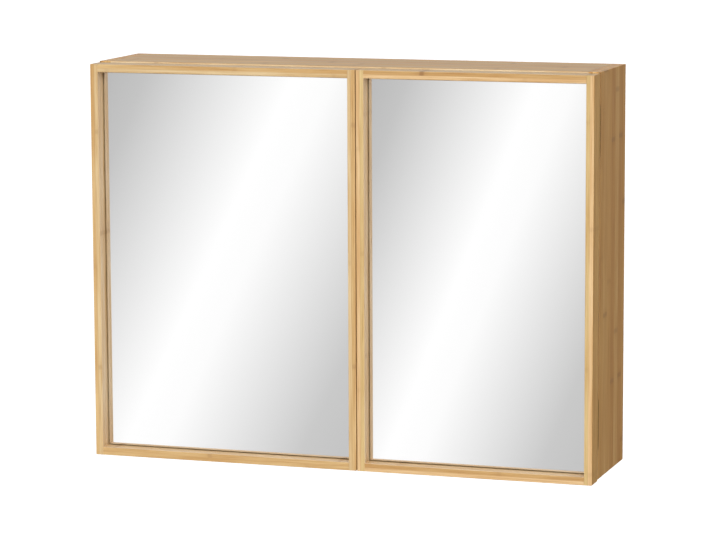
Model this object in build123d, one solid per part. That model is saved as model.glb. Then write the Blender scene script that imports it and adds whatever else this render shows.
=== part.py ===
from build123d import *
import math
import os

# A wall-hung bamboo mirror cabinet with two doors of unequal width.
# X runs to the right, Y towards the wall and Z up. The wall is the plane y = 0, and the
# origin lies midway between the two wall holes of the hanging rail. Lengths are millimetres.

# Overall sizes
cabinet_width = 650.0
body_height = 498.5
body_depth = 129.0
door_thickness = 30.0
left_door_width = 349.5
door_drop = 1.5  # the doors are as high as the body, and hang this much lower
door_gap = 1.0  # between the doors' backs and the body's front edges
seam_gap = 1.0  # between the two doors

# Boards of the body
side_thickness = 15.0
panel_thickness = 15.0  # top and bottom panels
divider_thickness = 15.0
back_thickness = 5.0
back_groove_depth = 5.0
rail_thickness = 13.0
hanging_rail_height = 60.0
lower_rail_height = 40.0
wood_fit = 0.1  # play of a tongue, peg or panel in its groove or hole
hole_end_play = 0.5  # a blind hole is this much deeper than what it holds
edge_round = 0.7  # sanded edges

# Wall holes
wall_hole_radius = 3.5
wall_hole_inset = 75.0  # from the cabinet's outer sides

# Shelves and their pins
shelf_count = 2  # in each compartment
shelf_thickness = 10.0
shelf_setback = 8.0
shelf_back_play = 1.0
shelf_end_play = 1.5
pin_radius = 2.5
pin_reach = 6.5
pin_collar_radius = 4.0
pin_collar_thickness = 1.2
pin_support_length = 8.0
pin_flat_height = 1.5  # height of the shelf's seat above the pin's axis
pin_setback = 30.0
pin_hole_pitch = 32.0
pin_hole_steps = (-1, 0, 1)  # each shelf can go one step down or up

# Dowels and cam fittings of the body
dowel_radius = 4.0
dowel_length = 28.0
dowel_side_reach = 9.0
dowel_front_setback = 18.0
dowel_back_setback = 11.0  # from the back panel
rail_dowel_radius = 3.0
rail_dowel_inset = 12.0
cam_from_dowel = 20.0
cam_radius = 7.5
cam_cover = 3.0  # wood left between a cam and its panel's outer face
cam_from_end = 24.0
cam_slot_width = 7.2
cam_slot_overrun = 3.6
cam_driver_length = 9.0
cam_driver_width = 1.4
cam_driver_depth = 1.6
cam_bolt_radius = 2.5
cam_bolt_reach = 10.5
cam_bolt_collar_radius = 3.7
cam_bolt_collar_length = 3.0
cam_bolt_head_radius = 3.2
cam_bolt_head_length = 2.4
cam_bolt_play = 0.3

# Screws
screw_fit = 0.05
hinge_screw_radius = 1.1
hinge_screw_head_radius = 2.1
hinge_screw_head_depth = 1.2
hinge_screw_length = 14.0
small_screw_radius = 1.5
small_screw_head_radius = 2.8
small_screw_head_depth = 1.8
catch_screw_length = 13.0
strike_screw_length = 8.0
rail_screw_radius = 1.75
rail_screw_head_radius = 3.5
rail_screw_head_depth = 2.2
rail_screw_length = 16.0
rail_screw_inset = 30.0

# Door frames and mirrors
bar_width = 10.0
tongue_reach = 2.0
tongue_thickness = 4.0
groove_end_play = 0.3
mirror_setback = 17.0
mirror_thickness = 4.0
mirror_gap = 1.0
mirror_bevel = 0.8
tape_thickness = 1.0
tape_width = 20.0
tape_inset = 20.0
tape_count = 5
frame_dowel_radius = 2.0
frame_dowel_stile_reach = 6.0
frame_dowel_rail_reach = 12.0
frame_dowel_setbacks = (7.0, 19.0)
bumper_radius = 4.0
bumper_air = 0.3

# Butt hinges, two to a door
hinge_length = 60.0
hinge_from_end = 70.0  # from the door's end to the hinge's middle
knuckle_count = 5
knuckle_radius = 1.6
knuckle_gap = 0.2
hinge_pin_radius = 0.8
hinge_pin_fit = 0.05
leaf_thickness = 0.8
leaf_width = 7.6  # from the hinge's axis
leaf_fit = 0.05
pocket_play = 0.3  # room round the knuckles
leaf_screw_pitch = 22.0
leaf_screw_steps = (-1, 0, 1)
opening_angle = 110.0  # degrees that each door can open
rebate_play = 0.15

# Magnetic catches
catch_length = 40.0
catch_body_length = 24.0
catch_depth = 14.0
catch_height = 11.0
catch_ear_thickness = 3.0
catch_from_divider = 4.0
catch_screw_inset = 4.0
magnet_length = 18.0
magnet_depth = 10.0
magnet_height = 5.0
magnet_proud = 0.4
magnet_air = 0.3
strike_length = 34.0
strike_height = 10.0
strike_thickness = 1.0

# Places worked out from the sizes
half_width = cabinet_width / 2
body_top = panel_thickness + hanging_rail_height / 2
body_bottom = body_top - body_height
body_front = -body_depth
inner_left = -half_width + side_thickness
inner_right = half_width - side_thickness
inner_top = body_top - panel_thickness
inner_bottom = body_bottom + panel_thickness
rail_front = -rail_thickness
back_front = rail_front - back_thickness
door_back = body_front - door_gap
door_front = door_back - door_thickness
door_bottom = body_bottom - door_drop
door_top = body_top - door_drop
seam_left = -half_width + left_door_width
seam_right = seam_left + seam_gap
divider_left = (seam_left + seam_right - divider_thickness) / 2
divider_right = divider_left + divider_thickness
lower_rail_top = inner_bottom + lower_rail_height
lower_rail_middle = inner_bottom + lower_rail_height / 2
mirror_front = door_front + mirror_setback
mirror_back = mirror_front + mirror_thickness
backing_front = mirror_back + tape_thickness
dowel_rows = (body_front + dowel_front_setback, back_front - dowel_back_setback)
cam_rows = (dowel_rows[0] + cam_from_dowel, dowel_rows[1] - cam_from_dowel)
cam_depth = panel_thickness - cam_cover
hinge_axis_inset = knuckle_radius
hinge_axis_y = body_front - door_gap / 2
leaf_screw_inset = (knuckle_radius + leaf_width) / 2

# A rebate along each door's outer back corner clears the body's sharp front corner. Seen
# from the door, that corner turns about the hinge's axis to (corner_x, corner_y), and the
# body's outer side slants back from there.
corner_radius = math.hypot(hinge_axis_inset, door_gap / 2)
corner_angle = math.atan2(door_gap / 2, -hinge_axis_inset) + math.radians(opening_angle)
corner_x = corner_radius * math.cos(corner_angle)
corner_y = corner_radius * math.sin(corner_angle)
side_slant = (hinge_axis_inset + corner_x) / math.tan(math.radians(opening_angle))
rebate_width = hinge_axis_inset + corner_x + rebate_play
rebate_depth = -corner_y - side_slant - door_gap / 2 + rebate_play

# The two compartments, as pairs of X limits
compartments = {
    "left": (inner_left, divider_left),
    "right": (divider_right, inner_right),
}

# Directions that a screw's head can face
HEAD_TO_FRONT = Rot(90, 0, 0)
HEAD_TO_BACK = Rot(-90, 0, 0)
HEAD_DOWN = Rot(180, 0, 0)

nodes = {}


def block(x, y, z):
    """A block between pairs of X, Y and Z limits, given in either order."""
    middle = Pos((x[0] + x[1]) / 2, (y[0] + y[1]) / 2, (z[0] + z[1]) / 2)
    return middle * Box(abs(x[1] - x[0]), abs(y[1] - y[0]), abs(z[1] - z[0]))


def rod_x(x, y, z, radius):
    """A rod along X between two X limits."""
    return Pos((x[0] + x[1]) / 2, y, z) * Rot(0, 90, 0) * Cylinder(radius, abs(x[1] - x[0]))


def rod_y(x, y, z, radius):
    """A rod along Y between two Y limits."""
    return Pos(x, (y[0] + y[1]) / 2, z) * Rot(90, 0, 0) * Cylinder(radius, abs(y[1] - y[0]))


def rod_z(x, y, z, radius):
    """A rod along Z between two Z limits."""
    return Pos(x, y, (z[0] + z[1]) / 2) * Cylinder(radius, abs(z[1] - z[0]))


def screw(radius, head_radius, head_depth, length, grow=0.0):
    """A countersunk screw whose head's flat face is on the XY plane, facing +Z."""
    head = Pos(0, 0, -head_depth / 2) * Cone(radius + grow, head_radius + grow, head_depth)
    shank = Pos(0, 0, -(length + grow) / 2) * Cylinder(radius + grow, length + grow)
    return head + shank


def hinge_screw(grow=0.0):
    return screw(hinge_screw_radius, hinge_screw_head_radius, hinge_screw_head_depth,
                 hinge_screw_length, grow)


def rail_screw(grow=0.0):
    return screw(rail_screw_radius, rail_screw_head_radius, rail_screw_head_depth,
                 rail_screw_length, grow)


def small_screw(length, grow=0.0):
    return screw(small_screw_radius, small_screw_head_radius, small_screw_head_depth,
                 length, grow)


def sanded(board, direction=None):
    """The board with its edges rounded: all of them, or those along one direction."""
    edges = board.edges()
    if direction:
        edges = edges.filter_by(direction)
    return fillet(edges, edge_round)


# Shelf places: the spaces above, between and below the shelves are equal
shelf_space = (inner_top - inner_bottom - shelf_count * shelf_thickness) / (shelf_count + 1)
shelf_undersides = []
for index in range(shelf_count):
    shelf_undersides.append(inner_bottom + (index + 1) * shelf_space + index * shelf_thickness)
pin_rows = (body_front + pin_setback, back_front - pin_setback)


def pin_holes(face, inward):
    """Rows of blind pin holes behind a panel face; inward points into the compartment."""
    holes = []
    depth = pin_reach + hole_end_play
    for underside in shelf_undersides:
        for step in pin_hole_steps:
            height = underside - pin_flat_height + step * pin_hole_pitch
            for row in pin_rows:
                span = (face - inward * depth, face)
                holes.append(rod_x(span, row, height, pin_radius + wood_fit))
    return holes


def shelf_pin(face, inward, row, underside):
    """A pin with a collar and a flat seat under the shelf."""
    height = underside - pin_flat_height
    collar_end = face + inward * pin_collar_thickness
    tip = collar_end + inward * pin_support_length
    peg = rod_x((face - inward * pin_reach, face), row, height, pin_radius)
    collar = rod_x((face, collar_end), row, height, pin_collar_radius)
    support = rod_x((collar_end, tip), row, height, pin_radius)
    above_seat = block((collar_end, tip), (row - pin_radius, row + pin_radius),
                       (underside, underside + pin_radius))
    return peg + collar + (support - above_seat)


# Dowels and cam fittings. Each entry is a side panel's inner face and the direction from
# there into the cabinet.
panel_ends = ((inner_left, 1), (inner_right, -1))
panel_levels = (inner_top + panel_thickness / 2, inner_bottom - panel_thickness / 2)
rail_dowel_levels = (
    inner_top - rail_dowel_inset,
    inner_top - hanging_rail_height + rail_dowel_inset,
    lower_rail_top - rail_dowel_inset,
    inner_bottom + rail_dowel_inset,
)


def end_dowels(grow=0.0, play=0.0):
    """Dowels between the side panels and the ends of the top and bottom panels."""
    pegs = []
    for face, inward in panel_ends:
        span = (face - inward * (dowel_side_reach + play),
                face + inward * (dowel_length - dowel_side_reach + play))
        for row in dowel_rows:
            for level in panel_levels:
                pegs.append(rod_x(span, row, level, dowel_radius + grow))
    return pegs


def divider_dowels(grow=0.0, play=0.0):
    """Upright dowels between the divider and the top and bottom panels."""
    pegs = []
    middle = (divider_left + divider_right) / 2
    for face, inward in ((inner_top, -1), (inner_bottom, 1)):
        span = (face - inward * (dowel_side_reach + play),
                face + inward * (dowel_length - dowel_side_reach + play))
        for row in dowel_rows:
            pegs.append(rod_z(middle, row, span, dowel_radius + grow))
    return pegs


def rail_dowels(grow=0.0, play=0.0):
    """Dowels between the side panels and the ends of the two back rails."""
    pegs = []
    for face, inward in panel_ends:
        span = (face - inward * (dowel_side_reach + play),
                face + inward * (dowel_length - dowel_side_reach + play))
        for level in rail_dowel_levels:
            pegs.append(rod_x(span, rail_front / 2, level, rail_dowel_radius + grow))
    return pegs


def cam_bolts():
    """Bolts that reach from the side panels to the cams."""
    bolts = []
    for face, inward in panel_ends:
        for row in cam_rows:
            for level in panel_levels:
                head_end = face + inward * (cam_from_end + cam_bolt_head_length)
                thread = rod_x((face - inward * cam_bolt_reach, face), row, level,
                               cam_bolt_radius)
                collar = rod_x((face, face + inward * cam_bolt_collar_length), row, level,
                               cam_bolt_collar_radius)
                neck = rod_x((face, head_end), row, level, cam_bolt_radius)
                head = rod_x((face + inward * cam_from_end, head_end), row, level,
                             cam_bolt_head_radius)
                bolts.append(thread + collar + neck + head)
    return bolts


def cam_bolt_holes():
    """Holes for the bolts: narrow in the side panels, wide in the panels' ends."""
    holes = []
    for face, inward in panel_ends:
        for row in cam_rows:
            for level in panel_levels:
                threaded_end = face - inward * (cam_bolt_reach + hole_end_play)
                holes.append(rod_x((threaded_end, face), row, level,
                                   cam_bolt_radius + wood_fit))
                holes.append(rod_x((face, face + inward * cam_from_end), row, level,
                                   cam_bolt_collar_radius + cam_bolt_play))
    return holes


def cam_discs(grow=0.0):
    """Cams let into the inner faces of the top and bottom panels."""
    discs = []
    for face, inward in panel_ends:
        for row in cam_rows:
            for surface, upward in ((inner_top, 1), (inner_bottom, -1)):
                middle = face + inward * cam_from_end
                discs.append(rod_z(middle, row, (surface, surface + upward * (cam_depth + grow)),
                                   cam_radius + grow))
    return discs


def slotted_cams():
    """Each cam with the slot that takes a bolt's head and the slot for a screwdriver."""
    cams = []
    for face, inward in panel_ends:
        for row in cam_rows:
            for surface, upward in ((inner_top, 1), (inner_bottom, -1)):
                middle = face + inward * cam_from_end
                level = surface + upward * panel_thickness / 2
                disc = rod_z(middle, row, (surface, surface + upward * cam_depth), cam_radius)
                bolt_slot = block((middle - inward * cam_radius, middle + inward * cam_slot_overrun),
                                  (row - cam_slot_width / 2, row + cam_slot_width / 2),
                                  (level - cam_slot_width / 2, level + cam_slot_width / 2))
                driver_slot = block((middle - cam_driver_length / 2, middle + cam_driver_length / 2),
                                    (row - cam_driver_width / 2, row + cam_driver_width / 2),
                                    (surface, surface + upward * cam_driver_depth))
                cams.append(disc - bolt_slot - driver_slot)
    return cams


# Hinges
hinge_middles = (door_top - hinge_from_end, door_bottom + hinge_from_end)
hinge_names = ("upper", "lower")
door_sides = {"left": (-half_width, 1), "right": (half_width, -1)}


def knuckle_spans(middle):
    """The Z limits of each knuckle of a hinge, from the bottom up."""
    pitch = hinge_length / knuckle_count
    bottom = middle - hinge_length / 2
    spans = []
    for index in range(knuckle_count):
        spans.append((bottom + index * pitch + knuckle_gap / 2,
                      bottom + (index + 1) * pitch - knuckle_gap / 2))
    return spans


def leaf_screw_places(outer, inward):
    """X and Z of every leaf screw along one side of the cabinet."""
    across = outer + inward * (hinge_axis_inset + leaf_screw_inset)
    places = []
    for middle in hinge_middles:
        for step in leaf_screw_steps:
            places.append((across, middle + step * leaf_screw_pitch))
    return places


def hinge_leaf(outer, inward, middle, thickness_span, own, other, head_turn, face):
    """A leaf with its own knuckles, notched for the other leaf's knuckles."""
    axis_x = outer + inward * hinge_axis_inset
    height = (middle - hinge_length / 2, middle + hinge_length / 2)
    leaf = block((axis_x, axis_x + inward * leaf_width), thickness_span, height)
    for low, high in other:
        notch = (low - knuckle_gap, high + knuckle_gap)
        leaf -= rod_z(axis_x, hinge_axis_y, notch, knuckle_radius + pocket_play)
    for span in own:
        leaf += rod_z(axis_x, hinge_axis_y, span, knuckle_radius)
    leaf -= rod_z(axis_x, hinge_axis_y, height, hinge_pin_radius + hinge_pin_fit)
    for across, level in leaf_screw_places(outer, inward):
        if height[0] < level < height[1]:
            leaf -= Pos(across, face, level) * head_turn * hinge_screw(screw_fit)
    return leaf


def hinge_recesses(outer, inward, face, depthward):
    """Recesses for leaves, knuckles and screws; depthward points into the wood along Y."""
    axis_x = outer + inward * hinge_axis_inset
    knuckle_reach = knuckle_radius + pocket_play
    head_turn = HEAD_TO_FRONT if depthward > 0 else HEAD_TO_BACK
    recesses = []
    for middle in hinge_middles:
        height = (middle - hinge_length / 2 - leaf_fit, middle + hinge_length / 2 + leaf_fit)
        recesses.append(block((outer, axis_x + inward * (leaf_width + leaf_fit)),
                              (face, face + depthward * (leaf_thickness + leaf_fit)), height))
        recesses.append(block((outer, axis_x + inward * knuckle_reach),
                              (face, hinge_axis_y + depthward * knuckle_reach),
                              (height[0] - pocket_play, height[1] + pocket_play)))
    for across, level in leaf_screw_places(outer, inward):
        recesses.append(Pos(across, face, level) * head_turn * hinge_screw(screw_fit))
    return recesses


def make_hinges(name):
    """Two butt hinges with their pins and screws on one side of the cabinet."""
    outer, inward = door_sides[name]
    pins = []
    for hinge_name, middle in zip(hinge_names, hinge_middles):
        spans = knuckle_spans(middle)
        prefix = name + "_" + hinge_name + "_hinge_"
        body_span = (body_front, body_front + leaf_thickness)
        door_span = (door_back - leaf_thickness, door_back)
        nodes[prefix + "body_leaf"] = hinge_leaf(
            outer, inward, middle, body_span, spans[0::2], spans[1::2], HEAD_TO_FRONT, body_front)
        nodes[prefix + "door_leaf"] = hinge_leaf(
            outer, inward, middle, door_span, spans[1::2], spans[0::2], HEAD_TO_BACK, door_back)
        pin_span = (middle - hinge_length / 2, middle + hinge_length / 2)
        pins.append(rod_z(outer + inward * hinge_axis_inset, hinge_axis_y, pin_span,
                          hinge_pin_radius))
    nodes[name + "_hinge_pins"] = Compound(pins)
    screws = []
    for across, level in leaf_screw_places(outer, inward):
        screws.append(Pos(across, door_back, level) * HEAD_TO_BACK * hinge_screw())
    nodes[name + "_door_hinge_screws"] = Compound(screws)


# Catches
catch_top = inner_top
catch_housing_front = door_back + strike_thickness + magnet_air + magnet_proud
magnet_level = catch_top - catch_ear_thickness - (catch_height - catch_ear_thickness) / 2
catch_middles = {
    "left": divider_left - catch_from_divider - catch_length / 2,
    "right": divider_right + catch_from_divider + catch_length / 2,
}


def catch_screw_places():
    """X and Y of the four screws that hold the catches."""
    row = catch_housing_front + catch_depth / 2
    offset = catch_length / 2 - catch_screw_inset
    places = []
    for middle in catch_middles.values():
        places.append((middle - offset, row))
        places.append((middle + offset, row))
    return places


def make_catch(name):
    """A catch housing with ears, and the magnet in its front."""
    middle = catch_middles[name]
    front = catch_housing_front
    body_x = (middle - catch_body_length / 2, middle + catch_body_length / 2)
    ears_x = (middle - catch_length / 2, middle + catch_length / 2)
    depth = (front, front + catch_depth)
    housing = block(body_x, depth, (catch_top - catch_height, catch_top))
    housing += block(ears_x, depth, (catch_top - catch_ear_thickness, catch_top))
    magnet_x = (middle - magnet_length / 2, middle + magnet_length / 2)
    magnet_z = (magnet_level - magnet_height / 2, magnet_level + magnet_height / 2)
    housing -= block((magnet_x[0] - wood_fit, magnet_x[1] + wood_fit),
                     (front, front + magnet_depth + wood_fit),
                     (magnet_z[0] - wood_fit, magnet_z[1] + wood_fit))
    for across, row in catch_screw_places():
        hole = Pos(across, row, catch_top - catch_ear_thickness) * HEAD_DOWN
        housing -= hole * small_screw(catch_screw_length, screw_fit)
    nodes[name + "_catch_housing"] = housing
    nodes[name + "_catch_magnet"] = block(magnet_x, (front - magnet_proud, front + magnet_depth),
                                          magnet_z)


# Body
def side_panel(outer, inner, inward):
    """A side panel with its back groove, holes and hinge recesses."""
    board = sanded(block((outer, inner), (body_front, 0), (body_bottom, body_top)))
    groove = block((inner - inward * back_groove_depth, inner),
                   (back_front - wood_fit, rail_front + wood_fit),
                   (inner_bottom - back_groove_depth, inner_top + back_groove_depth))
    tools = [groove]
    tools += end_dowels(wood_fit, hole_end_play)
    tools += rail_dowels(wood_fit, hole_end_play)
    tools += cam_bolt_holes()
    tools += pin_holes(inner, inward)
    tools += hinge_recesses(outer, inward, body_front, 1)
    return board - tools


def level_panel(z, groove_side):
    """The top or bottom panel; groove_side is the Z of its inner face."""
    board = sanded(block((inner_left, inner_right), (body_front, 0), z), Axis.X)
    outward = 1 if z[1] > groove_side else -1
    groove = block((inner_left, inner_right),
                   (back_front - wood_fit, rail_front + wood_fit),
                   (groove_side, groove_side + outward * back_groove_depth))
    tools = [groove]
    tools += end_dowels(wood_fit, hole_end_play)
    tools += divider_dowels(wood_fit, hole_end_play)
    tools += cam_bolt_holes()
    tools += cam_discs(wood_fit)
    for across, row in catch_screw_places():
        hole = Pos(across, row, catch_top - catch_ear_thickness) * HEAD_DOWN
        tools.append(hole * small_screw(catch_screw_length, screw_fit))
    return board - tools


def rail_screw_places():
    """X and Z of the screws that hold the back panel to the two rails."""
    places = []
    for x_limits in compartments.values():
        for across in (x_limits[0] + rail_screw_inset, x_limits[1] - rail_screw_inset):
            places.append((across, 0.0))
            places.append((across, lower_rail_middle))
    return places


def back_board_holes():
    """The screw holes, wall holes and dowel holes of the boards behind the compartments."""
    tools = rail_dowels(wood_fit, hole_end_play)
    for across, level in rail_screw_places():
        tools.append(Pos(across, back_front, level) * HEAD_TO_FRONT * rail_screw(screw_fit))
    for across in (wall_hole_inset - half_width, half_width - wall_hole_inset):
        tools.append(rod_y(across, (back_front, 0), 0, wall_hole_radius))
    return tools


def make_body():
    """The boards of the body."""
    groove_reach = back_groove_depth - wood_fit
    nodes["left_side_panel"] = side_panel(-half_width, inner_left, 1)
    nodes["right_side_panel"] = side_panel(half_width, inner_right, -1)
    nodes["top_panel"] = level_panel((inner_top, body_top), inner_top)
    nodes["bottom_panel"] = level_panel((body_bottom, inner_bottom), inner_bottom)
    divider = sanded(block((divider_left, divider_right), (body_front, back_front),
                           (inner_bottom, inner_top)), Axis.Z)
    tools = pin_holes(divider_left, -1) + pin_holes(divider_right, 1)
    tools += divider_dowels(wood_fit, hole_end_play)
    nodes["centre_divider"] = divider - tools
    back_panel = block((inner_left - groove_reach, inner_right + groove_reach),
                       (back_front, rail_front),
                       (inner_bottom - groove_reach, inner_top + groove_reach))
    hanging_rail = block((inner_left, inner_right), (rail_front, 0),
                         (inner_top - hanging_rail_height, inner_top))
    lower_rail = block((inner_left, inner_right), (rail_front, 0), (inner_bottom, lower_rail_top))
    nodes["back_panel"] = back_panel - back_board_holes()
    nodes["hanging_rail"] = sanded(hanging_rail, Axis.X) - back_board_holes()
    nodes["lower_back_rail"] = sanded(lower_rail, Axis.X) - back_board_holes()


def make_shelves():
    """The shelves of both compartments and the pins under them."""
    pins = []
    for side_name, x_limits in compartments.items():
        for index, underside in enumerate(shelf_undersides):
            name = side_name + "_shelf_" + str(index + 1)
            board = block((x_limits[0] + shelf_end_play, x_limits[1] - shelf_end_play),
                          (body_front + shelf_setback, back_front - shelf_back_play),
                          (underside, underside + shelf_thickness))
            nodes[name] = sanded(board)
            for face, inward in ((x_limits[0], 1), (x_limits[1], -1)):
                for row in pin_rows:
                    pins.append(shelf_pin(face, inward, row, underside))
    nodes["shelf_pins"] = Compound(pins)


def make_body_fasteners():
    """Dowels, cams, bolts and screws of the body."""
    nodes["body_dowels"] = Compound(end_dowels() + divider_dowels())
    nodes["rail_dowels"] = Compound(rail_dowels())
    nodes["cam_bolts"] = Compound(cam_bolts())
    nodes["cam_discs"] = Compound(slotted_cams())
    rail_screws = []
    for across, level in rail_screw_places():
        rail_screws.append(Pos(across, back_front, level) * HEAD_TO_FRONT * rail_screw())
    nodes["rail_screws"] = Compound(rail_screws)
    catch_screws = []
    for across, row in catch_screw_places():
        place = Pos(across, row, catch_top - catch_ear_thickness) * HEAD_DOWN
        catch_screws.append(place * small_screw(catch_screw_length))
    nodes["catch_screws"] = Compound(catch_screws)
    hinge_screws = []
    for outer, inward in door_sides.values():
        for across, level in leaf_screw_places(outer, inward):
            place = Pos(across, body_front, level) * HEAD_TO_FRONT
            hinge_screws.append(place * hinge_screw())
    nodes["body_hinge_screws"] = Compound(hinge_screws)


# Doors
def make_door(name, width):
    """One door; distances across it are measured from its hinge side."""
    outer, inward = door_sides[name]

    def at(distance):
        return outer + inward * distance

    depth = (door_front, door_back)
    low_bar = (door_bottom, door_bottom + bar_width)
    high_bar = (door_top - bar_width, door_top)
    opening_z = (low_bar[1], high_bar[0])
    tongue_middle = (backing_front + door_back) / 2
    groove_depth = tongue_reach + groove_end_play
    groove_half = tongue_thickness / 2 + wood_fit
    groove = block((at(bar_width - groove_depth), at(width - bar_width + groove_depth)),
                   (tongue_middle - groove_half, tongue_middle + groove_half),
                   (opening_z[0] - groove_depth, opening_z[1] + groove_depth))

    def frame_dowels(grow=0.0, play=0.0):
        pegs = []
        for corner, away in ((bar_width, 1), (width - bar_width, -1)):
            span = (at(corner - away * (frame_dowel_stile_reach + play)),
                    at(corner + away * (frame_dowel_rail_reach + play)))
            for bar in (low_bar, high_bar):
                for setback in frame_dowel_setbacks:
                    pegs.append(rod_x(span, door_front + setback, (bar[0] + bar[1]) / 2,
                                      frame_dowel_radius + grow))
        return pegs

    dowel_holes = frame_dowels(wood_fit, hole_end_play)
    rebate = block((outer, at(rebate_width)), (door_back, door_back - rebate_depth),
                   (door_bottom, door_top))
    hinge_stile = sanded(block((outer, at(bar_width)), depth, (door_bottom, door_top)))
    hinge_cuts = [groove, rebate] + dowel_holes + hinge_recesses(outer, inward, door_back, -1)
    nodes[name + "_door_hinge_stile"] = hinge_stile - hinge_cuts
    lock_stile = sanded(block((at(width - bar_width), at(width)), depth, (door_bottom, door_top)))
    nodes[name + "_door_lock_stile"] = lock_stile - [groove] - dowel_holes
    for rail_name, z in (("bottom_rail", low_bar), ("top_rail", high_bar)):
        rail = sanded(block((at(bar_width), at(width - bar_width)), depth, z), Axis.X)
        nodes[name + "_door_" + rail_name] = rail - [groove] - dowel_holes
    nodes[name + "_door_frame_dowels"] = Compound(frame_dowels())

    backing = block((at(bar_width + wood_fit), at(width - bar_width - wood_fit)),
                    (backing_front, door_back),
                    (opening_z[0] + wood_fit, opening_z[1] - wood_fit))
    backing = fillet(backing.faces().sort_by(Axis.Y)[-1].edges(), edge_round)
    backing += block((at(bar_width - tongue_reach), at(width - bar_width + tongue_reach)),
                     (tongue_middle - tongue_thickness / 2, tongue_middle + tongue_thickness / 2),
                     (opening_z[0] - tongue_reach, opening_z[1] + tongue_reach))
    strike_middle = catch_middles[name]
    strike_back = door_back + strike_thickness
    strike_place = Pos(strike_middle, strike_back, magnet_level) * HEAD_TO_BACK
    strike_hole = strike_place * small_screw(strike_screw_length, screw_fit)
    nodes[name + "_door_backing_panel"] = backing - strike_hole
    nodes[name + "_strike_plate"] = block(
        (strike_middle - strike_length / 2, strike_middle + strike_length / 2),
        (door_back, strike_back),
        (magnet_level - strike_height / 2, magnet_level + strike_height / 2)) - strike_hole
    nodes[name + "_strike_screw"] = strike_place * small_screw(strike_screw_length)

    mirror_x = (at(bar_width + mirror_gap), at(width - bar_width - mirror_gap))
    mirror_z = (opening_z[0] + mirror_gap, opening_z[1] - mirror_gap)
    mirror = block(mirror_x, (mirror_front, mirror_back), mirror_z)
    front_edges = mirror.faces().sort_by(Axis.Y)[0].edges()
    nodes[name + "_mirror"] = chamfer(front_edges, mirror_bevel)

    strips = []
    first = bar_width + mirror_gap + tape_inset
    tape_pitch = (width - 2 * first) / tape_count
    for index in range(tape_count):
        middle = at(first + (index + 0.5) * tape_pitch)
        strips.append(block((middle - tape_width / 2, middle + tape_width / 2),
                            (mirror_back, backing_front),
                            (mirror_z[0] + tape_inset, mirror_z[1] - tape_inset)))
    nodes[name + "_mirror_tape"] = Compound(strips)

    bumpers = []
    bumper_levels = ((inner_top + door_top) / 2, (body_bottom + inner_bottom) / 2)
    for level in bumper_levels:
        bumpers.append(rod_y(at(width - bar_width / 2),
                             (door_back, body_front - bumper_air), level, bumper_radius))
    nodes[name + "_bumpers"] = Compound(bumpers)


make_body()
make_shelves()
make_body_fasteners()
for side_name in ("left", "right"):
    make_catch(side_name)
    make_hinges(side_name)
make_door("left", left_door_width)
make_door("right", cabinet_width - left_door_width - seam_gap)

os.makedirs("parts", exist_ok=True)
for node_name, shape in nodes.items():
    export_step(shape, "parts/" + node_name + ".step")
print(len(nodes), "nodes")
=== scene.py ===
import math

import bmesh
import bpy
from bpy.props import FloatProperty, FloatVectorProperty, PointerProperty
from mathutils import Matrix, Vector


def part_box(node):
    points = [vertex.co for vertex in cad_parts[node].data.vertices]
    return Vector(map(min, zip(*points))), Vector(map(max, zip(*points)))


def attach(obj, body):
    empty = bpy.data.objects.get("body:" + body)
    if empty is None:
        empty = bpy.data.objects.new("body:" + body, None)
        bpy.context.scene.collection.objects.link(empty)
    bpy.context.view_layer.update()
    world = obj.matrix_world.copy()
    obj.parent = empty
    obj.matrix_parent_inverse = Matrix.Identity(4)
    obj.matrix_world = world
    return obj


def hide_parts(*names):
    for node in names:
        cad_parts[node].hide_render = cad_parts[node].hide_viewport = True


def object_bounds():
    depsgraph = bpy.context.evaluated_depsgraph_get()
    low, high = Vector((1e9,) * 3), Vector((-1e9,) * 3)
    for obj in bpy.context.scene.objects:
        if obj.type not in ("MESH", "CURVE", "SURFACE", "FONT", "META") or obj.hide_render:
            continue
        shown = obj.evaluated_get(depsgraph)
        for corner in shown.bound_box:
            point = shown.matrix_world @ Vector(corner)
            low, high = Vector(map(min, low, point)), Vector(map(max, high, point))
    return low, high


bl_info = {
    "name": "Bamboo mirror cabinet",
    "version": (1, 0, 0),
    "blender": (4, 5, 0),
    "location": "3D View > Sidebar > Mirror cabinet",
    "description": "Finishes, small fittings and studio of a two-door bamboo mirror cabinet",
    "category": "Object",
}

# The frame. Lengths are metres; the wall is the plane y = 0 and the doors face -Y.
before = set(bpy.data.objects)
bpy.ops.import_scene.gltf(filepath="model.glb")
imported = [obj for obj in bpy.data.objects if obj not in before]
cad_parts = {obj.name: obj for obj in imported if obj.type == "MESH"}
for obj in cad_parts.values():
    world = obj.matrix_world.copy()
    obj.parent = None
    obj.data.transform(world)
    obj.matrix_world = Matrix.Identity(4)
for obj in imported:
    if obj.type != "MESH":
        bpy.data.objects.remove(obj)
cad_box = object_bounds()

MM = 0.001
NEAR = 0.01 * MM  # heights this close count as one
MERGED = 0.001 * MM  # corners this close become one
SMOOTH_ANGLE = math.radians(35)

# Where the values of a noise mostly lie
NOISE_LOW, NOISE_HIGH = 0.3, 0.7


def linear(hex_colour):
    """The linear RGBA of an sRGB hex colour."""
    channels = []
    for start in (1, 3, 5):
        value = int(hex_colour[start:start + 2], 16) / 255
        channels.append(value / 12.92 if value <= 0.04045 else ((value + 0.055) / 1.055) ** 2.4)
    return (*channels, 1.0)


def colour_property(name, description, hex_colour):
    return FloatVectorProperty(name=name, description=description, subtype="COLOR", size=4,
                               min=0.0, max=1.0, default=linear(hex_colour))


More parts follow.
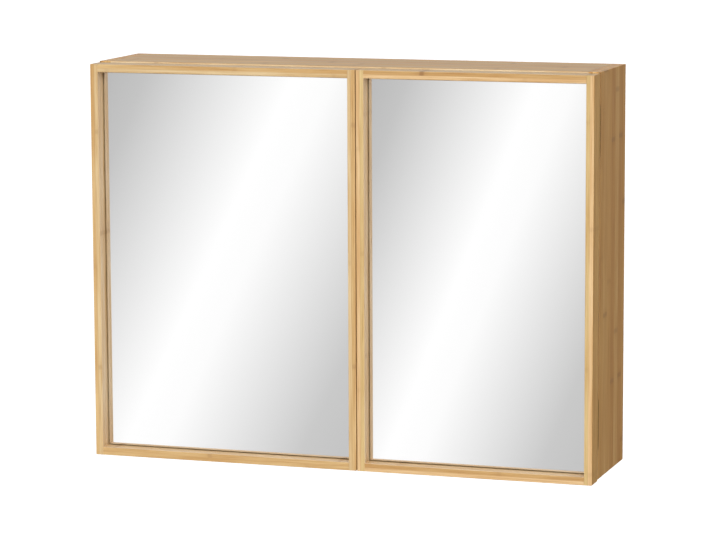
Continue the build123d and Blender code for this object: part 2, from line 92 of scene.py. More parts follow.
# Settings that a user would change
class BambooSettings(bpy.types.PropertyGroup):
    """Sizes and colours of the bamboo"""
    strip_thickness: FloatProperty(
        name="Strip thickness", description="Thickness of one glued bamboo strip",
        default=0.005, min=0.002, unit="LENGTH")
    strip_width: FloatProperty(
        name="Strip width", description="Width of one bamboo strip across its layer",
        default=0.019, min=0.005, unit="LENGTH")
    ring_spacing: FloatProperty(
        name="Ring spacing", description="Distance between the cane's joints along a strip",
        default=0.30, min=0.05, unit="LENGTH")
    toast_strip: colour_property("Toast strip", "Carbonised, browner strips", "#CFAA71")
    amber_strip: colour_property("Amber strip", "Warm middle strips", "#DBBC87")
    straw_strip: colour_property("Straw strip", "Yellowish strips", "#DFC893")
    cream_strip: colour_property("Cream strip", "Light strips", "#E2CCA2")
    pale_strip: colour_property("Pale strip", "The lightest, rosy strips", "#EBCEA1")
    board_dark: colour_property("Board dark", "Darkest strips of the boards", "#D0984C")
    board_middle: colour_property("Board middle", "Usual strips of the boards", "#E5B76A")
    board_light: colour_property("Board light", "Lightest strips of the boards", "#F0CC88")
    # Partly painted highlight: this light cream is the skin side of strips on the bars, and also
    # stands for the highlight along the top panel's front edge
    skin: colour_property("Skin side", "Strips that show their dense skin side", "#F8E8C6")
    flank: colour_property("Flank", "Outer side of the right door", "#F0C77A")
    # Painted shade: a darker tone on the side panels' outermost front edges, standing in for the
    # shade in the gap beside the doors
    painted_gap_shade: colour_property("Painted gap shade", "Body's outer front corners", "#9C7D55")
    ring: colour_property("Ring", "Scar at a joint of the cane", "#8F6236")
    glue: colour_property("Glue line", "Dark line between two strips", "#A67A48")


class FittingSettings(bpy.types.PropertyGroup):
    """Colours of glass, metal and plastic"""
    silver: colour_property("Silver", "Silvered face of the mirrors", "#F7F7F7")
    glass_edge: colour_property("Glass edge", "Ground edge of the mirrors", "#A9BDB2")
    brass: colour_property("Brass", "Hinges and their screws", "#CDA95E")
    nickel: colour_property("Nickel", "Plated screws, pins and plates", "#CFCDC8")
    zinc: colour_property("Zinc", "Cast cams", "#A8AAAC")
    ferrite: colour_property("Ferrite", "Catch magnets", "#3B3A39")
    plastic: colour_property("Plastic", "Catch housings", "#7A5230")
    beech: colour_property("Beech", "Dowels", "#D9B78E")
    felt: colour_property("Felt", "Bumpers on the lock stiles", "#97805F")
    tape: colour_property("Tape", "Foam tape behind the mirrors", "#2E2E30")


class StageSettings(bpy.types.PropertyGroup):
    """Light and camera of the studio"""
    front_ambient: FloatProperty(
        name="Front ambient", description="Soft light from the front of the studio",
        default=0.52, min=0.0)
    rear_ambient: FloatProperty(
        name="Rear ambient", description="Soft light from the back of the studio",
        default=0.36, min=0.0)
    key_strength: FloatProperty(
        name="Key strength", description="Irradiance of the large soft lamp in front",
        default=2.0, min=0.0)
    key_softness: FloatProperty(
        name="Key softness", description="Angle under which the soft lamp is seen",
        default=math.radians(40), min=0.0, subtype="ANGLE")
    hanging_height: FloatProperty(
        name="Hanging height", description="Height of the wall holes above the floor",
        default=1.7, min=0.5, unit="LENGTH")
    lens: FloatProperty(
        name="Lens", description="Focal length in millimetres on a 36 mm wide sensor",
        default=160.2, min=10.0)


# Shared helpers
def add_node(tree, kind, inputs=None, stops=None, **settings):
    """Adds a shader node of a kind, which is its type without ShaderNode. inputs maps sockets
    to values, sockets or nodes, where a node stands for its first output. stops are the places
    and colours of a ramp."""
    node = tree.nodes.new("ShaderNode" + kind)
    for name, value in settings.items():
        setattr(node, name, value)
    for socket, source in (inputs or {}).items():
        if isinstance(source, bpy.types.Node):
            source = source.outputs[0]
        if isinstance(source, bpy.types.NodeSocket):
            tree.links.new(source, node.inputs[socket])
        else:
            node.inputs[socket].default_value = source
    if stops:
        elements = node.color_ramp.elements
        while len(elements) < len(stops):
            elements.new(0.5)
        for element, (position, colour) in zip(elements, stops):
            element.position = position
            element.color = colour
    return node


def new_material(name):
    """A material that has no nodes yet, and its node tree."""
    material = bpy.data.materials.new(name)
    material.use_nodes = True
    material.node_tree.nodes.clear()
    return material, material.node_tree


def select_only(*objects):
    """Selects these objects and no others; the first one is active."""
    bpy.ops.object.select_all(action="DESELECT")
    for piece in objects:
        piece.select_set(True)
    bpy.context.view_layer.objects.active = objects[0]


def start_piece():
    """Deselects everything, so that a new primitive is alone."""
    bpy.ops.object.select_all(action="DESELECT")


def select(kind, test):
    """In edit mode, selects just the "faces" or the "edges" that pass the test."""
    bpy.context.tool_settings.mesh_select_mode = (False, kind == "edges", kind == "faces")
    bpy.ops.mesh.select_all(action="DESELECT")
    mesh = bpy.context.edit_object.data
    shape = bmesh.from_edit_mesh(mesh)
    for part in getattr(shape, kind):
        if test(part):
            part.select_set(True)
    shape.select_flush_mode()
    bmesh.update_edit_mesh(mesh)


def select_end(level):
    """Selects the flat faces at this height."""
    select("faces", lambda face: abs(face.normal.z) > 0.9 and
           abs(face.calc_center_median().z - level) < NEAR)


def select_rim(level):
    """Selects the edges at this height."""
    select("edges", lambda edge: max(abs(vert.co.z - level) for vert in edge.verts) < NEAR)


def lengthen(distance, scale=1.0):
    """Extrudes the selected end face along Z and then scales it about the Z axis."""
    bpy.ops.mesh.extrude_region_move(TRANSFORM_OT_translate={"value": (0, 0, distance)})
    if scale != 1.0:
        bpy.ops.transform.resize(value=(scale, scale, 1), center_override=(0, 0, 0))


def turned_blank(sides, radius, depth, top=0.0):
    """A cylinder about the Z axis, left in edit mode; its top is at the given height."""
    start_piece()
    bpy.ops.mesh.primitive_cylinder_add(vertices=sides, radius=radius, depth=depth,
                                        location=(0, 0, top - depth / 2))
    bpy.ops.object.transform_apply(location=True)
    bpy.ops.object.mode_set(mode="EDIT")
    return bpy.context.object


def cut_block(piece, low, high, narrowing=1.0):
    """Cuts a block out of a piece; narrowing scales the block's lower face."""
    start_piece()
    middle = [(a + b) / 2 for a, b in zip(low, high)]
    size = [b - a for a, b in zip(low, high)]
    bpy.ops.mesh.primitive_cube_add(size=1, location=middle)
    cutter = bpy.context.object
    cutter.scale = size
    bpy.ops.object.transform_apply(location=True, scale=True)
    if narrowing != 1.0:
        bpy.ops.object.mode_set(mode="EDIT")
        select_end(low[2])
        bpy.ops.transform.resize(value=(narrowing, narrowing, 1), center_override=middle)
        bpy.ops.object.mode_set(mode="OBJECT")
    cut = piece.modifiers.new("Cut", "BOOLEAN")
    cut.operation = "DIFFERENCE"
    cut.solver = "EXACT"
    cut.object = cutter
    select_only(piece)
    bpy.ops.object.modifier_apply(modifier=cut.name)
    bpy.data.objects.remove(cutter)


def cross_recess(piece, reach, width, depth):
    """Sinks a tapered cross into the flat face at z = 0."""
    above = 0.2 * MM
    for half_x, half_y in ((reach, width / 2), (width / 2, reach)):
        cut_block(piece, (-half_x, -half_y, -depth), (half_x, half_y, above), narrowing=0.6)


def facing(place, outward, upward=(0, 0, 1)):
    """The matrix that turns a model's +Z to outward and its +Y to upward, at a place."""
    z_axis = Vector(outward)
    y_axis = Vector(upward)
    matrix = Matrix((y_axis.cross(z_axis), y_axis, z_axis)).transposed().to_4x4()
    matrix.translation = place
    return matrix


def copies_at(name, model, places):
    """One piece made of a copy of the model at each place. The model itself goes."""
    copies = []
    for place in places:
        copy = model.copy()
        copy.data = model.data.copy()
        copy.data.transform(place)
        bpy.context.collection.objects.link(copy)
        copies.append(copy)
    bpy.data.objects.remove(model)
    select_only(*copies)
    if len(copies) > 1:
        bpy.ops.object.join()
    piece = bpy.context.view_layer.objects.active
    piece.name = name
    piece.data.name = name
    bpy.ops.object.shade_smooth_by_angle(angle=SMOOTH_ANGLE)
    return piece


def solid_boxes(node):
    """(lowest corner, highest corner) of each separate solid of a CAD node."""
    shape = bmesh.new()
    shape.from_mesh(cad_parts[node].data)
    bmesh.ops.remove_doubles(shape, verts=shape.verts, dist=MERGED)
    left = set(shape.verts)
    boxes = []
    while left:
        found = [left.pop()]
        reached = list(found)
        while found:
            for edge in found.pop().link_edges:
                for vert in edge.verts:
                    if vert in left:
                        left.remove(vert)
                        found.append(vert)
                        reached.append(vert)
        low = Vector([min(vert.co[axis] for vert in reached) for axis in range(3)])
        high = Vector([max(vert.co[axis] for vert in reached) for axis in range(3)])
        boxes.append((low, high))
    shape.free()
    return sorted(boxes, key=lambda box: tuple(box[0]))


def dress(node, material):
    """Gives a CAD node its material."""
    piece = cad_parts[node]
    if not piece.material_slots:
        piece.data.materials.append(material)
    piece.material_slots[0].material = material


def finish_piece(piece, material, body, node):
    """Gives a new piece its material and body, in place of a CAD node, which is hidden."""
    piece.data.materials.clear()
    piece.data.materials.append(material)
    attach(piece, body)
    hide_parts(node)


def softened_copy(node, name, width):
    """A copy of a CAD node with its triangles merged and its edges softened."""
    piece = bpy.data.objects.new(name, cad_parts[node].data.copy())
    bpy.context.collection.objects.link(piece)
    select_only(piece)
    bpy.ops.object.mode_set(mode="EDIT")
    bpy.ops.mesh.select_all(action="SELECT")
    bpy.ops.mesh.remove_doubles(threshold=MERGED)
    bpy.ops.mesh.dissolve_limited(angle_limit=math.radians(2))
    bpy.ops.object.mode_set(mode="OBJECT")
    bevel = piece.modifiers.new("Softened edges", "BEVEL")
    bevel.width = width
    bevel.segments = 2
    bevel.limit_method = "ANGLE"
    bevel.angle_limit = math.radians(40)
    bpy.ops.object.modifier_apply(modifier=bevel.name)
    bpy.ops.object.shade_smooth_by_angle(angle=SMOOTH_ANGLE)
    return piece


# Bamboo. Its patterns are given by the number of their features in a metre along a strip, through
# it and across it. The fibres are drawn coarser than real, about a millimetre apart, so that they
# show. The vessels are 0.8 mm apart.
FIBRES = (14, 800, 800)
CLOUDS = (9, 90, 90)
SCAR_WAVES = (0, 260, 260)
VESSELS = (0, 1250, 1250)
STRIP_JUMP = 5.3  # how far the patterns jump from one strip to the next
COURSE_STEP = 0.37  # from one layer's joints to the next layer's, as a share of a strip's width
SCAR_STEP = 0.43  # from a strip's scar to the next strip's, as a share of their spacing
FAINT_SCAR = 0.2  # strength of the scars on a bar's first strip
SCAR_WAVE_HEIGHT = 4 * MM
GLUE_WIDTH = 0.3 * MM
GLUE_STRENGTH = 0.45

# A scar's core and halo: how far from its middle each starts to fade and has faded, and its
# strength
SCAR_CORE = (1.2 * MM, 5.0 * MM, 0.6)
SCAR_HALO = (2.5 * MM, 12 * MM, 0.14)

# How far a normal leans to an axis on a cheek and on end grain
CHEEK_FACING = 0.7
END_FACING = 0.8


def pressed_bamboo(name, grain, thin, wide, start, tones, seed=0.0, scar=None, cheek=None):
    """Side-pressed bamboo: split cane planed to strips and glued face to face under pressure,
    then sanded and given a clear satin lacquer. The eye sees straight strips that differ in
    tone, fine fibres along them, a scar at each joint of the cane, and dots on the ends.
    grain, thin and wide are the axes along a strip, through it and across it. start is where
    the first strip's face lies. Tones and scars fall by chance, but on a bar with a scar the
    tones go to its strips in order, and its second strip has a scar at that place and of that
    strength. A cheek is the axis and side that one face points to, its tone, which on the side
    panels' front edges is painted shade and on the top panel's front edge a painted highlight, and
    how far from the cabinet's middle it starts."""
    settings = bpy.context.scene.cabinet_bamboo
    thickness = settings.strip_thickness
    width = settings.strip_width
    spacing = settings.ring_spacing
    material, tree = new_material(name)
    source = add_node(tree, "TexCoord")
    place = add_node(tree, "SeparateXYZ", {0: source.outputs["Object"]})
    along, through, across = (place.outputs["XYZ".index(axis)] for axis in (grain, thin, wide))

    # Each strip has a number through the stack and a number across its layer
    layer = add_node(tree, "Math", {0: through, 1: 1 / thickness, 2: -start / thickness},
                     operation="MULTIPLY_ADD")
    layer_number = add_node(tree, "Math", {0: layer}, operation="FLOOR")
    stagger = add_node(tree, "Math", {0: layer_number, 1: COURSE_STEP}, operation="MULTIPLY")
    course = add_node(tree, "Math", {0: across, 1: 1 / width, 2: stagger},
                      operation="MULTIPLY_ADD")
    course_number = add_node(tree, "Math", {0: course}, operation="FLOOR")
    strip = add_node(tree, "CombineXYZ", {0: layer_number, 1: course_number, 2: seed})
    chance = add_node(tree, "TexWhiteNoise", {"Vector": strip}, noise_dimensions="3D")
    chances = add_node(tree, "SeparateColor", {0: chance.outputs["Color"]})
    spread = [index / (len(tones) - 1) for index in range(len(tones))]
    tone = add_node(tree, "ValToRGB", {0: layer_number if scar else chance},
                    stops=list(zip(spread, tones)))
    normals = add_node(tree, "SeparateXYZ", {0: source.outputs["Normal"]})
    # A cheek's tone: a real tone on some faces, painted shade on the side panels' outer front
    # edges and a painted highlight on the top panel's front edge
    if cheek:
        axis, side, cheek_tone, beyond = cheek
        pointing = add_node(tree, "Math", {0: normals.outputs["XYZ".index(axis)], 1: side},
                            operation="MULTIPLY" if side else "ABSOLUTE")
        turned = add_node(tree, "Math", {0: pointing, 1: CHEEK_FACING}, operation="GREATER_THAN")
        sideways = add_node(tree, "Math", {0: place.outputs[0]}, operation="ABSOLUTE")
        outside = add_node(tree, "Math", {0: sideways, 1: beyond}, operation="GREATER_THAN")
        on_cheek = add_node(tree, "Math", {0: turned, 1: outside}, operation="MULTIPLY")
        cheeked = add_node(tree, "Mix", {0: on_cheek, 6: tone, 7: cheek_tone}, data_type="RGBA")
        tone = cheeked.outputs[2]

    # Fine fibres, and slower clouds of tone along each strip
    local = add_node(tree, "CombineXYZ", {0: along, 1: through, 2: across})
    jump = add_node(tree, "VectorMath", {0: strip, "Scale": STRIP_JUMP}, operation="SCALE")
    fibre_place = add_node(tree, "VectorMath", {0: local, 1: FIBRES, 2: jump},
                           operation="MULTIPLY_ADD")
    fibre = add_node(tree, "TexNoise",
                     {"Vector": fibre_place, "Scale": 1.0, "Detail": 3.0, "Roughness": 0.6})
    cloud_place = add_node(tree, "VectorMath", {0: local, 1: CLOUDS, 2: jump},
                           operation="MULTIPLY_ADD")
    cloud = add_node(tree, "TexNoise", {"Vector": cloud_place, "Scale": 1.0, "Detail": 2.0})
    fibre_tint = add_node(tree, "ValToRGB", {0: fibre},
                          stops=[(0.28, linear("#DCC7A9")), (0.5, linear("#F8F1E6")),
                                 (0.75, linear("#FFFFFF"))])
    cloud_tint = add_node(tree, "ValToRGB", {0: cloud}, stops=[(NOISE_LOW, linear("#EBDCC6")),
                                                               (NOISE_HIGH, linear("#FFFFFF"))])
    grained = add_node(tree, "Mix", {0: 1.0, 6: tone, 7: fibre_tint}, data_type="RGBA",
                       blend_type="MULTIPLY")
    clouded = add_node(tree, "Mix", {0: 1.0, 6: grained.outputs[2], 7: cloud_tint},
                       data_type="RGBA", blend_type="MULTIPLY")

    # The scars of the cane's joints: a wavy smudge across the strip, a few millimetres long
    wave_place = add_node(tree, "VectorMath", {0: local, 1: SCAR_WAVES, 2: jump},
                          operation="MULTIPLY_ADD")
    wave = add_node(tree, "TexNoise", {"Vector": wave_place, "Scale": 1.0})
    waved = add_node(tree, "Math", {0: wave, 1: SCAR_WAVE_HEIGHT, 2: along},
                     operation="MULTIPLY_ADD")
    phase = chances.outputs[0]
    strength = add_node(tree, "MapRange", {0: chances.outputs[1], 1: 0.1, 2: 0.9, 3: 0.25, 4: 1.0})
    if scar:
        scar_at, strongest = scar
        phase = add_node(tree, "Math",
                         {0: layer_number, 1: SCAR_STEP, 2: -scar_at / spacing - SCAR_STEP},
                         operation="MULTIPLY_ADD")
        strength = add_node(tree, "Math",
                            {0: layer_number, 1: strongest - FAINT_SCAR, 2: FAINT_SCAR},
                            operation="MULTIPLY_ADD")
    turn = add_node(tree, "Math", {0: waved, 1: 1 / spacing, 2: phase}, operation="MULTIPLY_ADD")
    off_scar = add_node(tree, "Math", {0: turn, 1: 0.5}, operation="PINGPONG")
    core, halo = (
        add_node(tree, "MapRange",
                 {0: off_scar, 1: begin / spacing, 2: end / spacing, 3: darkness, 4: 0.0},
                 interpolation_type="SMOOTHSTEP")
        for begin, end, darkness in (SCAR_CORE, SCAR_HALO))
    marks = add_node(tree, "Math", {0: core, 1: halo}, operation="MAXIMUM")
    mark = add_node(tree, "Math", {0: marks, 1: strength}, operation="MULTIPLY")
    scarred = add_node(tree, "Mix", {0: mark, 6: clouded.outputs[2], 7: settings.ring},
                       data_type="RGBA")

    # Glue lines between the layers and between the strips of a layer
    glue_lines = []
    for number, size in ((layer, thickness), (course, width)):
        edge = add_node(tree, "Math", {0: number, 1: 0.5}, operation="PINGPONG")
        glue_lines.append(add_node(tree, "MapRange", {0: edge, 1: 0.0, 2: GLUE_WIDTH / size,
                                                      3: GLUE_STRENGTH, 4: 0.0}))
    glue = add_node(tree, "Math", dict(enumerate(glue_lines)), operation="MAXIMUM")
    glued = add_node(tree, "Mix", {0: glue, 6: scarred.outputs[2], 7: settings.glue},
                     data_type="RGBA")

    # Vessels show as dots where a face cuts across the grain
    end_on = add_node(tree, "Math", {0: normals.outputs["XYZ".index(grain)]}, operation="ABSOLUTE")
    end_face = add_node(tree, "Math", {0: end_on, 1: END_FACING}, operation="GREATER_THAN")
    vessel_place = add_node(tree, "VectorMath", {0: local, 1: VESSELS}, operation="MULTIPLY")
    vessel = add_node(tree, "TexVoronoi", {"Vector": vessel_place, "Scale": 1.0})
    dot = add_node(tree, "MapRange", {0: vessel, 1: 0.2, 2: 0.45, 3: 0.55, 4: 0.12})
    dots = add_node(tree, "Math", {0: dot, 1: end_face}, operation="MULTIPLY")
    coloured = add_node(tree, "Mix", {0: dots, 6: glued.outputs[2], 7: settings.ring},
                        data_type="RGBA")

    # Satin lacquer: a little duller in the open fibres, which also stay just felt
    dullness = add_node(tree, "MapRange",
                        {0: fibre, 1: NOISE_LOW, 2: NOISE_HIGH, 3: 0.52, 4: 0.4})
    relief = add_node(tree, "Bump", {"Strength": 0.25, "Distance": 0.1 * MM, "Height": fibre})
    shader = add_node(tree, "BsdfPrincipled",
                      {"Base Color": coloured.outputs[2], "Roughness": dullness,
                       "Specular IOR Level": 0.5, "Normal": relief})
    add_node(tree, "OutputMaterial", {"Surface": shader})
    return material


# The other finishes: the colour's setting, the shares of its brightness that the pattern ranges
# over, the pattern's features in millimetres along X, Y and Z, its detail, the roughness at its
# two ends, its relief in millimetres, and further values of the shader
FINISHES = {
    # Rolled brass sheet, brushed along the knuckles: warm metal with soft vertical streaks
    "rolled_brass": ("brass", (0.8, 1.08), (0.25, 0.25, 6.0), 3.0, (0.42, 0.28), 0.01,
                     {"Metallic": 1.0}),
    # Nickel on turned steel: pale, slightly warm metal with fine haze
    "nickel_plated_steel": ("nickel", (0.88, 1.05), (1.5, 1.5, 1.5), 3.0, (0.34, 0.22), 0.0,
                            {"Metallic": 1.0}),
    # Raw zinc die casting: dull grey metal with flow marks
    "cast_zinc": ("zinc", (0.75, 1.08), (0.8, 0.8, 1.6), 3.0, (0.6, 0.42), 0.03,
                  {"Metallic": 1.0}),
    # Sintered ferrite with a ground face: near black, with fine lines along the face
    "ground_ferrite": ("ferrite", (0.7, 1.3), (4.0, 0.3, 0.3), 3.0, (0.55, 0.38), 0.01, {}),
    # Moulded ABS with a spark-eroded skin: plain brown, evenly dull, faintly grained
    "moulded_abs": ("plastic", (0.9, 1.08), (0.4, 0.4, 0.4), 3.0, (0.52, 0.42), 0.03, {}),
    # Raw turned beech: pale pinkish wood with short darker flecks along the grain
    "turned_beech": ("beech", (0.78, 1.06), (4.0, 0.6, 0.6), 4.0, (0.75, 0.62), 0.05, {}),
    # Pressed wool felt: matt and fuzzy, with mottled fibres
    "pressed_felt": ("felt", (0.7, 1.15), (0.3, 0.3, 0.3), 3.0, (0.95, 0.85), 0.12,
                     {"Sheen Weight": 0.4, "Sheen Roughness": 0.5}),
    # Closed-cell foam mirror tape: near black and matt, with cells half a millimetre wide
    "foam_tape": ("tape", (0.7, 1.5), (0.5, 0.5, 0.5), 3.0, (0.9, 0.75), 0.08, {}),
}


def patterned(name):
    """The material of one of the finishes, whose tone, roughness and relief follow one noise.
    One that is there already is used again."""
    if name in bpy.data.materials:
        return bpy.data.materials[name]
    colour, shades, sizes, detail, dull, relief_mm, constants = FINISHES[name]
    red, green, blue, _ = getattr(bpy.context.scene.cabinet_fittings, colour)
    material, tree = new_material(name)
    source = add_node(tree, "TexCoord")
    scale = [1 / (size * MM) for size in sizes]
    place = add_node(tree, "VectorMath", {0: source.outputs["Object"], 1: scale},
                     operation="MULTIPLY")
    pattern = add_node(tree, "TexNoise",
                       {"Vector": place, "Scale": 1.0, "Detail": detail, "Roughness": 0.6})
    stops = [(position, (*(min(1.0, shade * channel) for channel in (red, green, blue)), 1.0))
             for position, shade in zip((NOISE_LOW, NOISE_HIGH), shades)]
    tone = add_node(tree, "ValToRGB", {0: pattern}, stops=stops)
    dullness = add_node(tree, "MapRange",
                        {0: pattern, 1: NOISE_LOW, 2: NOISE_HIGH, 3: dull[0], 4: dull[1]})
    sockets = {"Base Color": tone, "Roughness": dullness, **constants}
    if relief_mm:
        sockets["Normal"] = add_node(
            tree, "Bump", {"Strength": 0.6, "Distance": relief_mm * MM, "Height": pattern})
    shader = add_node(tree, "BsdfPrincipled", sockets)
    add_node(tree, "OutputMaterial", {"Surface": shader})
    return material


def silvered_glass():
    """Float glass silvered behind, with a ground bevel: a clean mirror face, a pale green
    ground edge, and grey protective paint on the back."""
    settings = bpy.context.scene.cabinet_fittings
    material, tree = new_material("silvered_float_glass")
    source = add_node(tree, "TexCoord")
    normal = add_node(tree, "SeparateXYZ", {0: source.outputs["Normal"]})
    front = add_node(tree, "Math", {0: normal.outputs[1], 1: -0.2}, operation="LESS_THAN")
    back = add_node(tree, "Math", {0: normal.outputs[1], 1: 0.8}, operation="GREATER_THAN")
    hidden = add_node(tree, "Mix", {0: back, 6: settings.glass_edge, 7: linear("#85888A")},
                      data_type="RGBA")
    colour = add_node(tree, "Mix", {0: front, 6: hidden.outputs[2], 7: settings.silver},
                      data_type="RGBA")
    haze = add_node(tree, "TexNoise",
                    {"Vector": source.outputs["Object"], "Scale": 12.0, "Detail": 2.0})
    polish = add_node(tree, "MapRange", {0: haze, 1: NOISE_LOW, 2: NOISE_HIGH, 3: 0.01, 4: 0.03})
    ground = add_node(tree, "Mix", {0: front, 2: 0.4, 3: polish})
    shader = add_node(tree, "BsdfPrincipled", {"Base Color": colour.outputs[2],
                                               "Metallic": front, "Roughness": ground})
    add_node(tree, "OutputMaterial", {"Surface": shader})
    return material


# The two strips of each bar, from the left or from the bottom up, and the place and strength of
# a scar on the second one
BAR_STRIPS = {
    "left_door_hinge_stile": ("amber_strip", "cream_strip", -0.040, 0.4),
    "left_door_lock_stile": ("cream_strip", "amber_strip", -0.322, 0.5),
    "left_door_top_rail": ("cream_strip", "amber_strip", -0.130, 0.25),
    "left_door_bottom_rail": ("amber_strip", "amber_strip", -0.168, 0.5),
    "right_door_lock_stile": ("pale_strip", "straw_strip", -0.180, 0.25),
    "right_door_hinge_stile": ("straw_strip", "pale_strip", -0.140, 0.25),
    "right_door_top_rail": ("pale_strip", "toast_strip", 0.112, 1.2),
    "right_door_bottom_rail": ("pale_strip", "toast_strip", 0.210, 0.3),
}

# Where the painted shade on the side panels' front edges begins: their outermost 2.8 mm are
# darkened for the shade in the gap beside the doors' hinge rebates
GAP_SHADE_FROM = 0.3222

# Faces with a tone of their own or of painted light: the axis and side that they point to, 0 for
# both sides, the tone, and how far from the cabinet's middle it starts. The side panels' darker
# outer front edges are painted shade, and the top panel's light front edge is a painted highlight.
CHEEKS = {
    "left_door_hinge_stile": ("X", 1, "skin", 0.0),
    "right_door_lock_stile": ("X", 1, "skin", 0.0),
    "right_door_hinge_stile": ("X", 1, "flank", 0.0),
    "left_door_top_rail": ("Z", 0, "skin", 0.0),
    "left_door_bottom_rail": ("Z", 0, "skin", 0.0),
    "right_door_top_rail": ("Z", 0, "skin", 0.0),
    "right_door_bottom_rail": ("Z", 0, "skin", 0.0),
    # Painted highlight: the top panel's front edge gets the light cream tone
    "top_panel": ("Y", -1, "skin", 0.0),
    # Painted shade on the side panels' outermost front edges
    "left_side_panel": ("Y", -1, "painted_gap_shade", GAP_SHADE_FROM),
    "right_side_panel": ("Y", -1, "painted_gap_shade", GAP_SHADE_FROM),
}


def cheek_of(node):
    """The cheek of a node with its colour, or nothing."""
    if node not in CHEEKS:
        return None
    axis, side, tone, beyond = CHEEKS[node]
    return axis, side, getattr(bpy.context.scene.cabinet_bamboo, tone), beyond


# The boards, by their axes along the strips, through them and across them
BOARDS = {
    "ZXY": ("left_side_panel", "right_side_panel", "centre_divider"),
    "XZY": ("top_panel", "bottom_panel", "left_shelf_1", "left_shelf_2", "right_shelf_1",
            "right_shelf_2"),
    "XYZ": ("hanging_rail", "lower_back_rail"),
    "ZYX": ("back_panel", "left_door_backing_panel", "right_door_backing_panel"),
}
FIRST_BOARD_SEED = 20  # the bars' seeds start from 0


# The tones of a board's strips, from the darkest
WARM_BOARD = ("board_dark", "board_middle", "board_middle", "board_light")
# Painted sheen: the top panel's paler, greyer strips stand for the lacquer's sheen on its top,
# seen at a grazing angle
SHEEN_PAINTED_BOARD = ("amber_strip", "straw_strip", "board_middle", "board_light")


class FinishDoorFrames(bpy.types.Operator):
    """Give each bar of the door frames its two glued bamboo strips"""
    bl_idname = "mirror_cabinet.finish_door_frames"
    bl_label = "Door frames"

    def execute(self, context):
        settings = context.scene.cabinet_bamboo
        for seed, (node, (*strips, scar_at, strength)) in enumerate(BAR_STRIPS.items()):
            axes = "ZXY" if node.endswith("stile") else "XZY"
            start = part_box(node)[0]["XYZ".index(axes[1])]
            tones = [getattr(settings, strip) for strip in strips]
            dress(node, pressed_bamboo("side_pressed_bamboo_" + node, *axes, start, tones, seed,
                                       (scar_at, strength), cheek_of(node)))
        return {"FINISHED"}


class FinishBoards(bpy.types.Operator):
    """Give the panels, shelves, rails and backing panels their laminated bamboo"""
    bl_idname = "mirror_cabinet.finish_boards"
    bl_label = "Boards"

    def execute(self, context):
        settings = context.scene.cabinet_bamboo
        boards = [(node, axes) for axes, nodes in BOARDS.items() for node in nodes]
        for seed, (node, axes) in enumerate(boards, FIRST_BOARD_SEED):
            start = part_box(node)[0]["XYZ".index(axes[1])]
            # The top panel's paler strips are a painted sheen
            strips = SHEEN_PAINTED_BOARD if node == "top_panel" else WARM_BOARD
            tones = [getattr(settings, strip) for strip in strips]
            dress(node, pressed_bamboo("laminated_bamboo_" + node, *axes, start, tones, seed,
                                       cheek=cheek_of(node)))
        return {"FINISHED"}


class FinishMirrors(bpy.types.Operator):
    """Silver the two mirrors and make the foam tape behind them"""
    bl_idname = "mirror_cabinet.finish_mirrors"
    bl_label = "Mirrors"

    def execute(self, context):
        glass = silvered_glass()
        tape = patterned("foam_tape")
        for side in ("left", "right"):
            dress(side + "_mirror", glass)
            dress(side + "_mirror_tape", tape)
        return {"FINISHED"}


class FinishHinges(bpy.types.Operator):
    """Give the hinge leaves and pins their brushed brass"""
    bl_idname = "mirror_cabinet.finish_hinges"
    bl_label = "Hinges"

    def execute(self, context):
        brass = patterned("rolled_brass")
        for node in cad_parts:
            if node.endswith("_leaf") or node.endswith("_hinge_pins"):
                dress(node, brass)
        return {"FINISHED"}


def fitting_of(prefix, node):
    """The name of the piece for a node of fittings, and its body: the door that the node's
    name begins with, or the cabinet."""
    side = node.split("_")[0]
    body = side + "_door" if side in ("left", "right") else "cabinet"
    return prefix + node.replace("_door", ""), body


# Each screw node: the way its heads face, its shanks' radius and its heads' depth
SCREWS = {
    "body_hinge_screws": ((0, -1, 0), 1.1 * MM, 1.2 * MM),
    "left_door_hinge_screws": ((0, 1, 0), 1.1 * MM, 1.2 * MM),
    "right_door_hinge_screws": ((0, 1, 0), 1.1 * MM, 1.2 * MM),
    "rail_screws": ((0, -1, 0), 1.75 * MM, 2.2 * MM),
    "catch_screws": ((0, 0, -1), 1.5 * MM, 1.8 * MM),
    "left_strike_screw": ((0, 1, 0), 1.5 * MM, 1.8 * MM),
    "right_strike_screw": ((0, 1, 0), 1.5 * MM, 1.8 * MM),
}


def model_screw(radius, head_radius, head_depth, length):
    """A countersunk wood screw with a cross recess; its head's face is at z = 0."""
    rim = 0.15 * head_depth
    core = 0.72 * radius
    screw = turned_blank(24, head_radius, rim)
    select_end(-rim)
    lengthen(rim - head_depth, radius / head_radius)
    smooth = 0.15 * length
    lengthen(-smooth)
    pitch = 0.9 * radius
    threads = int((length - head_depth - smooth - 2 * radius) / pitch)
    for _ in range(threads):
        lengthen(-pitch / 2, core / radius)
        lengthen(-pitch / 2, radius / core)
    lengthen(-(length - head_depth - smooth - threads * pitch), 0.1)
    bpy.ops.object.mode_set(mode="OBJECT")
    cross_recess(screw, reach=0.62 * head_radius, width=0.26 * head_radius,
                 depth=0.75 * head_depth)
    return screw


